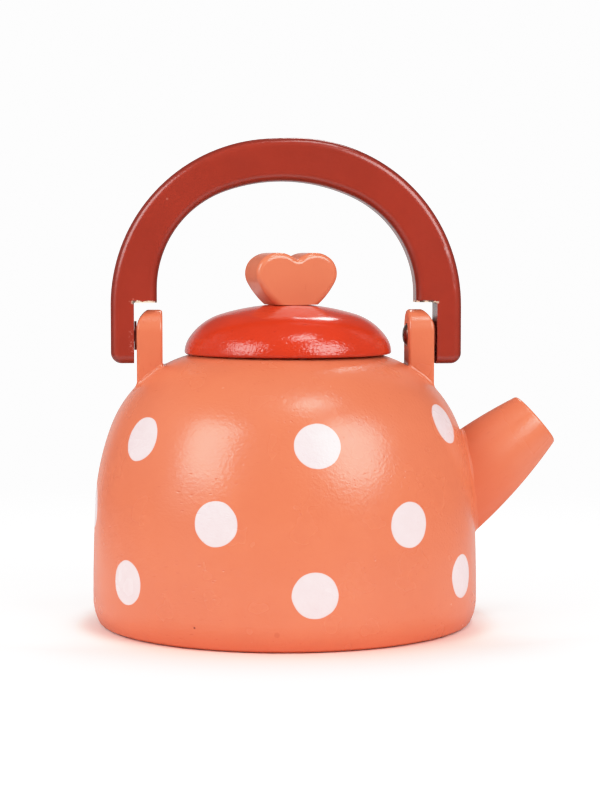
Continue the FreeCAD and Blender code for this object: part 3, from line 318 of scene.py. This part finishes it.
def painted_body(name, kind):
    t = Tree(name)
    p = t.mm()
    grain = {"body": (0.62, -0.75, 0.10), "post": (0, 0, 1), "spout": (0.77, 0, 0.637), "knob": (0, 0, 1)}[kind]
    h, pits = paint(t, p, grain, pore={"body": 1.8, "post": 0.7, "spout": 0.5, "knob": 0.35}[kind],
                    grit={"body": 2.8, "post": 2.0, "spout": 1.6, "knob": 0.8}[kind])
    # painted light: the knob takes the lighter copy of the coral
    col = tint(t, p, KNOB if kind == "knob" else CORAL, 0.03)
    col = t.mix(t.m("MULTIPLY", pits, 0.16), col, (0.36, 0.062, 0.025))
    rough = t.m("MULTIPLY_ADD", t.noise(p, 0.09, 2.0, 0.5), 0.08, 0.13 if kind == "knob" else 0.225)
    if kind in ("post", "spout"):
        # thinner gloss on the sawn sides of the posts and low on the spout
        nx, ny, nz = t.xyz(t.node("ShaderNodeTexCoord").outputs["Normal"])
        dull = t.map(t.m("ABSOLUTE", nx), 0.80, 0.97) if kind == "post" else t.map(nz, -0.25, -0.75)
        if kind == "spout":
            # and towards its root, where the colour is also a little redder: painted reflection of the coral wall
            # beside it
            back = t.m("MULTIPLY", t.v("DOT_PRODUCT", t.v("SUBTRACT", p, tuple(SPOUT_TIP)), tuple(SPOUT_AXIS)), -1.0)
            root = t.map(back, 6.0, 22.0)
            col = t.mix(t.m("MULTIPLY", t.map(back, 10.0, 30.0), 0.40), col, (0.575, 0.098, 0.036))
            dull = t.m("MAXIMUM", dull, t.m("MULTIPLY", root, 0.55))
        rough = t.m("MULTIPLY_ADD", dull, 0.25, rough)
        t.set("Specular IOR Level", t.m("MULTIPLY_ADD", dull, -0.48, 0.5))
    x, y, z = t.xyz(p)
    rho = t.m("SQRT", t.m("ADD", t.m("MULTIPLY", x, x), t.m("MULTIPLY", y, y)))
    if kind == "body":
        d = dot_field(t, p)
        ink = t.map(d, -0.05, 0.06, 1.0, 0.0)
        chips = t.map(t.noise(p, 1.7, 2.0, 0.5), 0.715, 0.74)
        rim = t.map(d, -1.1, -0.1)
        lost = t.m("MULTIPLY", chips, t.m("MULTIPLY_ADD", rim, 0.7, 0.25))
        ink = t.m("MULTIPLY", ink, t.m("SUBTRACT", 1.0, t.m("MULTIPLY", lost, 0.5)))
        shade = t.noise(p, 0.30, 3.0, 0.6)
        dotc = t.mix(t.map(shade, 0.3, 0.7), tuple(c * 0.955 for c in DOT), DOT)
        # the body's paint shows faintly through the thin print near its edge
        edge = t.m("MULTIPLY", t.map(d, -0.55, -0.02), 0.10)
        dotc = t.mix(edge, dotc, CORAL)
        col = t.mix(ink, col, dotc)
        h = t.m("MULTIPLY_ADD", t.map(d, -0.22, 0.02, 1.0, 0.0), 16.0, h)
        # painted shade: a dark line at the very foot, where the floor's contact shadow falls
        col = t.mix(t.m("MULTIPLY", t.map(z, 0.85, 0.30), 0.55), col, (0.22, 0.030, 0.014))
        # two marks near the foot
        col = t.mix(t.m("MULTIPLY", speck(t, p, MARK_A, 0.42), 0.85), col, (0.10, 0.018, 0.012))
        col = t.mix(t.m("MULTIPLY", speck(t, p, MARK_B, 1.0), 0.28), col, (0.30, 0.05, 0.022))
        # the bore is bare wood, with overspray near the rim
        wood, wh = bare_wood(t, p, (0, 0, 1))
        over = t.map(t.m("ADD", z, t.m("MULTIPLY", t.noise(p, 0.12, 3.0, 0.6), 9.0)), 84.0, 87.5)
        turned = t.m("MULTIPLY", t.m("SINE", t.m("MULTIPLY_ADD", t.noise(p, 0.2, 1.0, 0.5), 1.2, t.m("MULTIPLY", z, 7.0))), 5.0)
        inside = t.m("MULTIPLY", t.map(rho, 25.35, 25.75, 1.0, 0.0), t.map(z, 11.0, 11.5))
        bare = t.m("MULTIPLY", inside, t.m("SUBTRACT", 1.0, over))
        col = t.mix(bare, col, wood)
        h = t.m("ADD", t.m("MULTIPLY", h, t.m("SUBTRACT", 1.0, bare)), t.m("MULTIPLY", t.m("ADD", wh, turned), bare))
        rough = t.m("MULTIPLY_ADD", bare, 0.38, rough)
        # the foot's flat is bare too, with the paint rolling under its edge
        n = t.m("MULTIPLY", t.noise(p, 0.25, 3.0, 0.6), 2.4)
        foot = t.m("MULTIPLY", t.map(z, 0.05, 0.12, 1.0, 0.0), t.map(t.m("ADD", rho, n), 55.2, 56.0, 1.0, 0.0))
        col = t.mix(foot, col, wood)
        rough = t.m("MULTIPLY_ADD", foot, 0.38, rough)
    if kind == "spout":
        # the drilled mouth: painted at its edge, bare further in
        ax = tuple(SPOUT_AXIS)
        q = t.v("SUBTRACT", p, tuple(SPOUT_TIP))
        s = t.v("DOT_PRODUCT", q, ax)
        off = t.v("LENGTH", t.v("SUBTRACT", q, t.v("SCALE", ax, scale=s)))
        into = t.m("ADD", t.m("MULTIPLY", s, -1.0), t.m("MULTIPLY", t.noise(p, 0.5, 3.0, 0.6), 3.0))
        bare = t.m("MULTIPLY", t.map(off, 5.05, 5.3, 1.0, 0.0), t.map(into, 2.6, 4.2))
        wood, wh = bare_wood(t, p, ax)
        col = t.mix(bare, col, wood)
        rough = t.m("MULTIPLY_ADD", bare, 0.35, rough)
    t.set("Base Color", col)
    t.set("Roughness", rough)
    t.set("IOR", 1.5)
    t.set("Normal", t.bump(h, 0.001))
    return t.mat


def painted_lid(name):
    t = Tree(name)
    p = t.mm()
    # the coat is rougher towards the rim
    grit = t.map(t.xyz(p)[2], 86.5, 93.5, 6.0, 0.6)
    h, pits = paint(t, p, (0.9, 0.4, 0.1), pore=1.0, peel=1.0, grit=grit, size=1.55)
    col = tint(t, p, RED, 0.06)
    col = t.mix(t.m("MULTIPLY", pits, 0.25), col, (0.20, 0.012, 0.006))
    rough = t.m("MULTIPLY_ADD", t.noise(p, 0.09, 2.0, 0.5), 0.06, 0.13)
    x, y, z = t.xyz(p)
    # the underside and the plug below it are bare wood
    x = t.m("SUBTRACT", x, 1.0)
    rho = t.m("SQRT", t.m("ADD", t.m("MULTIPLY", x, x), t.m("MULTIPLY", y, y)))
    wood, wh = bare_wood(t, p, (0.9, 0.4, 0.1))
    n = t.m("MULTIPLY", t.noise(p, 0.35, 3.0, 0.6), 2.2)
    under = t.m("MULTIPLY", t.map(z, 83.66, 83.70, 1.0, 0.0), t.map(t.m("ADD", rho, n), 30.4, 31.4, 1.0, 0.0))
    col = t.mix(under, col, wood)
    rough = t.m("MULTIPLY_ADD", under, 0.42, rough)
    h = t.m("ADD", t.m("MULTIPLY", h, t.m("SUBTRACT", 1.0, under)), t.m("MULTIPLY", wh, under))
    t.set("Base Color", col)
    t.set("Roughness", rough)
    t.set("IOR", 1.5)
    t.set("Normal", t.bump(h, 0.001))
    return t.mat


def painted_handle(name):
    t = Tree(name)
    p = t.mm()
    h, pits = paint(t, p, (1, 0, 0), pore=0.5, peel=0.7, grit=1.2)
    col = tint(t, p, MAROON, 0.05)
    # painted shade: the colour is darker round the edges and on the sides, standing in for the dark room they face
    nx, ny, nz = t.xyz(t.node("ShaderNodeTexCoord").outputs["Normal"])
    side_shade = t.map(t.m("ABSOLUTE", ny), 0.93, 0.62)
    col = t.mix(t.m("MULTIPLY", side_shade, 0.55), col, (0.105, 0.0125, 0.0085))
    rough = t.m("MULTIPLY_ADD", t.noise(p, 0.09, 2.0, 0.5), 0.08, 0.19)
    x, y, z = t.xyz(p)
    ax = t.m("ABSOLUTE", x)
    # torn edge of each rebate's shoulder: pale chips of wood, and small holes coloured near-black as painted shade
    rag = t.noise(along(t, p, (0, 0, 1), 1.6), 0.95, 3.0, 0.65)
    band = t.m("MULTIPLY", t.map(z, 99.2, 99.6), t.map(t.m("ADD", z, t.m("MULTIPLY", rag, -1.9)), 99.1, 99.35, 1.0, 0.0))
    band = t.m("MULTIPLY", band, t.map(ax, 47.9, 47.0))
    wood, wh = bare_wood(t, p, (0, 0, 1))
    col = t.mix(band, col, t.mix(0.55, wood, (0.82, 0.70, 0.56)))
    # small holes in the shoulder, dug into the relief and painted near-black: painted shade
    shaded_holes = t.m("MULTIPLY", t.map(t.noise(p, 0.75, 2.0, 0.5), 0.53, 0.58), t.m("MULTIPLY", t.map(z, 99.0, 99.5), t.map(z, 100.5, 100.1)))
    shaded_holes = t.m("MULTIPLY", shaded_holes, t.map(ax, 47.9, 47.0))
    col = t.mix(t.m("MULTIPLY", shaded_holes, 0.9), col, (0.035, 0.012, 0.010))
    h = t.m("SUBTRACT", h, t.m("MULTIPLY", t.m("MAXIMUM", band, shaded_holes), 120.0))
    rough = t.m("MULTIPLY_ADD", band, 0.35, rough)
    # saw-rough inner face of each tab, where the paint is thin over the fibres
    raw = t.m("MULTIPLY", t.map(t.m("ABSOLUTE", nx), 0.90, 0.97), t.m("MULTIPLY", t.map(ax, 48.6, 47.3), t.map(z, 99.4, 98.9)))
    fib = t.map(t.noise(along(t, p, (0, 1, 0), 3.0), 1.15, 3.0, 0.6), 0.54, 0.62)
    thin = t.m("MULTIPLY", raw, fib)
    col = t.mix(t.m("MULTIPLY", thin, 0.55), col, (0.62, 0.33, 0.27))
    h = t.m("ADD", h, t.m("MULTIPLY", thin, 30.0))
    # paint rubbed off in specks on the face beside each pivot
    near = t.m("MULTIPLY", t.m("MULTIPLY", t.map(x, -48.9, -47.6), t.map(x, -40.0, -42.0)), t.map(t.m("ABSOLUTE", t.m("SUBTRACT", z, 88.0)), 4.6, 2.6, 0.0, 1.0))
    rub = t.m("MULTIPLY", near, t.map(t.noise(p, 1.35, 2.0, 0.6), 0.55, 0.62))
    col = t.mix(t.m("MULTIPLY", rub, 0.45), col, (0.55, 0.20, 0.16))
    # a nick and a few specks on the face
    for at, r, c in (((-36.5, -6.0, 131.5), 0.45, (0.42, 0.10, 0.07)), ((-47.0, -6.0, 100.8), 0.35, (0.45, 0.10, 0.07)), ((-48.2, -6.0, 100.1), 0.3, (0.40, 0.09, 0.06))):
        col = t.mix(t.m("MULTIPLY", speck(t, p, at, r), 0.7), col, c)
    # the inner face beside the washer is dull
    flat = t.m("MULTIPLY", t.map(t.m("ABSOLUTE", nx), 0.90, 0.97), t.m("MULTIPLY", t.map(ax, 48.6, 47.3), t.map(z, 96.0, 93.5)))
    rough = t.m("MULTIPLY_ADD", flat, 0.35, rough)
    t.set("Specular IOR Level", t.m("MULTIPLY_ADD", flat, -0.46, 0.5))
    t.set("Base Color", col)
    t.set("Roughness", rough)
    t.set("IOR", 1.5)
    t.set("Normal", t.bump(h, 0.001))
    return t.mat


def steel(name, rough, dark=1.0, hue=(1.0, 1.0, 1.0)):
    t = Tree(name)
    p = t.mm()
    n = t.noise(along(t, p, (1, 0, 0), 0.2), 2.0, 3.0, 0.6)
    lo = tuple(x * dark * k for x, k in zip((0.40, 0.37, 0.34), hue))
    hi = tuple(x * dark * k for x, k in zip((0.60, 0.57, 0.54), hue))
    c = t.mix(t.map(n, 0.35, 0.7), lo, hi)
    t.set("Base Color", c)
    t.set("Metallic", 1.0)
    t.set("Roughness", t.m("MULTIPLY_ADD", n, 0.15, rough))
    t.set("Normal", t.bump(t.m("MULTIPLY", n, 8.0), 0.001))
    return t.mat


def dowel_wood(name, axis):
    t = Tree(name)
    p = t.mm()
    c, h = bare_wood(t, p, axis)
    t.set("Base Color", c)
    t.set("Roughness", 0.62)
    t.set("Normal", t.bump(h, 0.001))
    return t.mat


MARK_A = (-29.6, -52.1, 6.8)
MARK_B = (-6.2, -59.5, 5.7)


def wear(obj, mat):
    for s in obj.material_slots:
        s.material = mat
    if not obj.material_slots:
        obj.data.materials.append(mat)


body_mat = painted_body("body_paint_turned", "body")
post_mat = painted_body("body_paint_post", "post")
spout_mat = painted_body("body_paint_spout", "spout")
wear(nodes["body"], body_mat)
wear(nodes["spout"], spout_mat)
wear(nodes["post_left"], post_mat)
wear(nodes["post_right"], post_mat)
wear(nodes["knob"], painted_body("knob_paint_sawn", "knob"))
wear(nodes["lid"], painted_lid("lid_paint_turned"))
wear(nodes["handle"], painted_handle("handle_paint_sawn"))
# painted reflection: the screws' steel is darkened and tinted red for the dark room and red paint it mirrors
screw = steel("screw_steel", 0.22, 0.58, (1.0, 0.70, 0.62))
wear(nodes["pivot_screw_left"], screw)
wear(nodes["pivot_screw_right"], screw)
# painted reflection and shade: the washers' steel is darkened to a dark red for the red paint it mirrors in the shaded
# gap
washer = steel("washer_steel", 0.45, 0.80, (1.0, 0.26, 0.22))
wear(nodes["washer_left"], washer)
wear(nodes["washer_right"], washer)
wear(nodes["spout_dowel"], dowel_wood("dowel_wood", (0.77, 0, 0.637)))
wear(nodes["knob_dowel"], dowel_wood("peg_wood", (0, 0, 1)))


# --------------------------------------------------------------------------
# beads of paint where the posts and the spout meet the body
# --------------------------------------------------------------------------
def bead(name, rings, mat):
    """A closed ring of paint. rings: for each place round the joint (corner, along one face, along the other), in mm."""
    steps = 7
    verts, faces = [], []
    for c, a, b, deep in rings:
        # a hollow curve from one face to the other, then back under both
        ring = []
        for i in range(steps + 1):
            u = i / steps
            ring.append(a * (1 - u) ** 2 + (c + deep * -0.18) * 2 * u * (1 - u) + b * u * u)
        ring.append(b + deep * 0.7)
        ring.append(c + deep * 1.6)
        ring.append(a + deep * 0.7)
        verts.append(ring)
    n, k = len(verts), len(verts[0])
    flat = [tuple(v * MM) for ring in verts for v in ring]
    for i in range(n):
        j = (i + 1) % n
        for s in range(k):
            q = (s + 1) % k
            faces.append((i * k + s, j * k + s, j * k + q, i * k + q))
    me = bpy.data.meshes.new(name)
    me.from_pydata(flat, [], faces)
    me.validate()
    import bmesh
    bm = bmesh.new()
    bm.from_mesh(me)
    bmesh.ops.recalc_face_normals(bm, faces=bm.faces)
    bm.to_mesh(me)
    bm.free()
    for f in me.polygons:
        f.use_smooth = True
    ob = bpy.data.objects.new(name, me)
    bpy.context.scene.collection.objects.link(ob)
    ob.data.materials.append(mat)
    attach(ob, "kettle")
    return ob


def wander(seed, p, lo, hi, size=4.0):
    v = noise.noise(Vector((p.x / size + seed * 7.3, p.y / size, p.z / size)))
    return lo + (hi - lo) * min(max(0.5 + v * 0.8, 0.0), 1.0)


def post_bead(name, cx, seed):
    hx, hy, r = 4.0, 6.8, 0.9
    outline = []
    for qx, qy, a0 in ((1, 1, 0), (-1, 1, 90), (-1, -1, 180), (1, -1, 270)):
        for i in range(9):
            a = math.radians(a0 + 90 * i / 8)
            outline.append((qx * (hx - r) + r * math.cos(a), qy * (hy - r) + r * math.sin(a), math.cos(a), math.sin(a)))
    # more places along the flats
    dense = []
    for i, u in enumerate(outline):
        v = outline[(i + 1) % len(outline)]
        gap = math.hypot(v[0] - u[0], v[1] - u[1])
        m = max(1, int(gap / 0.5))
        for s in range(m):
            w = s / m
            nx, ny = u[2] * (1 - w) + v[2] * w, u[3] * (1 - w) + v[3] * w
            l = math.hypot(nx, ny)
            dense.append((u[0] * (1 - w) + v[0] * w, u[1] * (1 - w) + v[1] * w, nx / l, ny / l))
    rings = []
    for x, y, nx, ny in dense:
        X, Y = cx + x, y
        c = Vector((X, Y, wall_height(math.hypot(X, Y))))
        out = Vector((nx, ny, 0))
        n = wall_normal(c)
        down = (out - n * out.dot(n)).normalized()
        h = wander(seed, c, 0.8, 1.5)
        w = wander(seed + 3, c, 0.9, 1.7)
        a = c + Vector((0, 0, h))
        b = on_wall(c + down * w)
        deep = -(out + n).normalized() * 0.12
        rings.append((c, a, b, deep))
    return bead(name, rings, post_mat)


def spout_bead(name):
    A = SPOUT_AXIS
    U = Vector((-A.z, 0, A.x))
    V = Vector((0, 1, 0))
    T = SPOUT_TIP
    rings = []
    for i in range(120):
        f = 2 * math.pi * i / 120
        side = U * math.cos(f) + V * math.sin(f)
        lo, hi = 2.0, 45.5
        for _ in range(50):
            s = (lo + hi) / 2
            p = T - A * s + side * spout_radius(s)
            if math.hypot(p.x, p.y) > wall_radius(p.z):
                lo = s
            else:
                hi = s
        c = T - A * s + side * spout_radius(s)
        slope = (spout_radius(s + 0.5) - spout_radius(s - 0.5))
        to_tip = (A - side * slope).normalized()
        cone_n = (side + A * slope).normalized()
        n = wall_normal(c)
        out = (cone_n - n * cone_n.dot(n)).normalized()
        h = wander(11, c, 0.8, 1.5)
        w = wander(14, c, 0.9, 1.6)
        a = c + to_tip * h
        b = on_wall(c + out * w)
        deep = -(cone_n + n).normalized() * 0.12
        rings.append((c, a, b, deep))
    return bead(name, rings, spout_mat)


post_bead("paint_bead_left", -42.05, 1)
post_bead("paint_bead_right", 42.2, 2)
spout_bead("paint_bead_spout")


# --------------------------------------------------------------------------
# camera, light and floor
# --------------------------------------------------------------------------
YAW = math.radians(4.2)


def turned(x, y, z):
    """From the camera's own frame, which looks along +Y, to the kettle's."""
    c, s = math.cos(YAW), math.sin(YAW)
    return Vector((x * c + y * s, -x * s + y * c, z))


PITCH = 0.0686
cam_data = bpy.data.cameras.new("camera")
cam = bpy.data.objects.new("camera", cam_data)
bpy.context.scene.collection.objects.link(cam)
bpy.context.scene.camera = cam
cam_data.sensor_fit = "AUTO"
cam_data.sensor_width = 36.0
cam_data.lens = 2083.6 / 800 * 36.0
cam_data.clip_start = 0.01
cam_data.clip_end = 50.0
right = turned(1, 0, 0)
ahead = turned(0, math.cos(PITCH), -math.sin(PITCH))
up = right.cross(ahead)
rot = Matrix((right, up, -ahead)).transposed().to_4x4()
cam.matrix_world = Matrix.Translation(turned(4.77, -650.0, 113.76) * MM) @ rot


def soft_light(name, az, el, dist, width, height, strength, shape="RECTANGLE", aim=(0, 0, 60), tint=(1, 1, 1)):
    """A soft light at an azimuth from the camera's side (+ to the right) and an elevation, that faces the kettle."""
    a, e = math.radians(az), math.radians(el)
    d = turned(math.sin(a) * math.cos(e), -math.cos(a) * math.cos(e), math.sin(e))
    data = bpy.data.lights.new(name, "AREA")
    data.shape = shape
    data.size, data.size_y = width, height
    # strength is radiance: an area light's power is radiance times area times pi
    area = width * height * (math.pi / 4 if shape in ("DISK", "ELLIPSE") else 1.0)
    data.energy = strength * area * math.pi
    data.color = tint
    ob = bpy.data.objects.new(name, data)
    bpy.context.scene.collection.objects.link(ob)
    ob.location = Vector(aim) * MM + d * dist
    ob.rotation_euler = (-d).to_track_quat("-Z", "Y").to_euler()
    return ob


soft_light("key_left", -52, 29, 1.5, 0.78, 0.92, 6.9)
soft_light("low_left", -62, 4, 1.5, 0.7, 0.2, 1.2)
soft_light("key_right", 47, 30, 1.5, 1.05, 1.05, 7.6, shape="ELLIPSE")
soft_light("overhead", 38, 69, 1.4, 0.46, 0.23, 11.5)
soft_light("back", 171, 45, 1.5, 0.36, 0.22, 13.0)
# fills that light the paint but aren't mirrored in its gloss
for fill in (soft_light("fill_left", -98, 26, 1.5, 1.2, 1.2, 2.0), soft_light("fill_front", -8, 22, 1.8, 1.2, 0.8, 0.40),
             soft_light("fill_top", -20, 74, 1.6, 1.0, 1.0, 1.0), soft_light("fill_right", 95, 24, 1.5, 1.0, 1.0, 0.8)):
    fill.visible_glossy = False

# floor, which fades into the room
me = bpy.data.meshes.new("floor")
s = 0.9
me.from_pydata([(-s, -s, -0.00004), (s, -s, -0.00004), (s, s, -0.00004), (-s, s, -0.00004)], [], [(0, 1, 2, 3)])
floor = bpy.data.objects.new("floor", me)
bpy.context.scene.collection.objects.link(floor)
ft = Tree("floor_white")
near = ft.v("LENGTH", ft.mm())
fx, fy, fz = ft.xyz(ft.mm())
# seen in the gloss of the paint it is a dimmer sheet
dim = ft.m("MULTIPLY_ADD", ft.node("ShaderNodeLightPath").outputs["Is Glossy Ray"], -0.5, 1.0)
# painted reflection: the wall's coral bounced onto the paper, painted into its colour, strongest in front of the foot
coral_bounce = ft.m("POWER", ft.map(near, 58.0, 112.0, 1.0, 0.0, smooth=False), 1.8)
coral_bounce = ft.m("MULTIPLY", coral_bounce, ft.map(fy, 20.0, -52.0, 0.12, 1.0))
sheet = ft.mix(coral_bounce, (0.93, 0.925, 0.92), (0.92, 0.50, 0.43))
ft.set("Base Color", ft.v("SCALE", sheet, scale=dim))
ft.set("Roughness", 0.9)
ft.set("Specular IOR Level", 0.1)
# painted light: the paper glows beside and behind the kettle and further out, lifting the kettle's shadows there
beside = ft.m("MULTIPLY", ft.map(fy, -52.0, -25.0), ft.map(near, 60.0, 70.0))
glow = ft.m("MAXIMUM", beside, ft.map(near, 75.0, 120.0))
ft.set("Emission Color", sheet)
ft.set("Emission Strength", ft.m("MULTIPLY", dim, ft.m("MULTIPLY", glow, 0.42)))
fade = ft.map(ft.v("LENGTH", ft.mm()), 180.0, 420.0, 1.0, 0.0)
ft.set("Alpha", fade)
me.materials.append(ft.mat)

# pale room: lit behind and below the kettle, dim at its sides and above
world = bpy.data.worlds.new("room")
bpy.context.scene.world = world
world.use_nodes = True
wt = world.node_tree
wt.nodes.clear()


def wnode(kind, **props):
    n = wt.nodes.new(kind)
    for k, v in props.items():
        setattr(n, k, v)
    return n


def wmap(value, a, b, c, d):
    n = wnode("ShaderNodeMapRange", interpolation_type="SMOOTHSTEP")
    wt.links.new(value, n.inputs["Value"])
    for k, v in (("From Min", a), ("From Max", b), ("To Min", c), ("To Max", d)):
        n.inputs[k].default_value = v
    return n.outputs[0]


def wadd(a, b):
    n = wnode("ShaderNodeMath", operation="ADD")
    for s, v in zip(n.inputs, (a, b)):
        if hasattr(v, "is_output"):
            wt.links.new(v, s)
        else:
            s.default_value = v
    return n.outputs[0]


def wmul(a, b):
    n = wnode("ShaderNodeMath", operation="MULTIPLY")
    wt.links.new(a, n.inputs[0])
    wt.links.new(b, n.inputs[1])
    return n.outputs[0]


def toward(direction):
    n = wnode("ShaderNodeVectorMath", operation="DOT_PRODUCT")
    wt.links.new(co.outputs["Generated"], n.inputs[0])
    n.inputs[1].default_value = tuple(direction)
    return n.outputs["Value"]


co = wnode("ShaderNodeTexCoord")
behind = toward(turned(0, 1, 0))
above = toward((0, 0, 1))
room = wmul(wmap(behind, 0.76, 0.90, 0.0, 0.70), wmap(above, 0.38, 0.14, 0.0, 1.0))
room = wadd(room, wmap(toward(turned(-1, 0, 0)), 0.25, 0.9, 0.0, 0.06))
room = wadd(room, wmap(above, -0.25, -0.8, 0.0, 0.55))
room = wadd(room, 0.14)
bg = wnode("ShaderNodeBackground")
wt.links.new(room, bg.inputs[1])
white = wnode("ShaderNodeBackground")
white.inputs[1].default_value = 1.6
rays = wnode("ShaderNodeLightPath")
pick = wnode("ShaderNodeMixShader")
out = wnode("ShaderNodeOutputWorld")
wt.links.new(rays.outputs["Is Camera Ray"], pick.inputs[0])
wt.links.new(bg.outputs[0], pick.inputs[1])
wt.links.new(white.outputs[0], pick.inputs[2])
wt.links.new(pick.outputs[0], out.inputs[0])

bpy.context.scene.view_settings.view_transform = "Standard"
bpy.context.scene.view_settings.look = "None"
# a soft shoulder towards white, as a camera gives
vs = bpy.context.scene.view_settings
vs.use_curve_mapping = True
cm = vs.curve_mapping
WHITE = 1.45
cm.white_level = (WHITE, WHITE, WHITE)
c = cm.curves[3]
for x, y in ((0.35, 0.35), (0.7, 0.69), (0.85, 0.815), (1.0, 0.90), (1.2, 0.965)):
    c.points.new(x / WHITE, y)
cm.update()
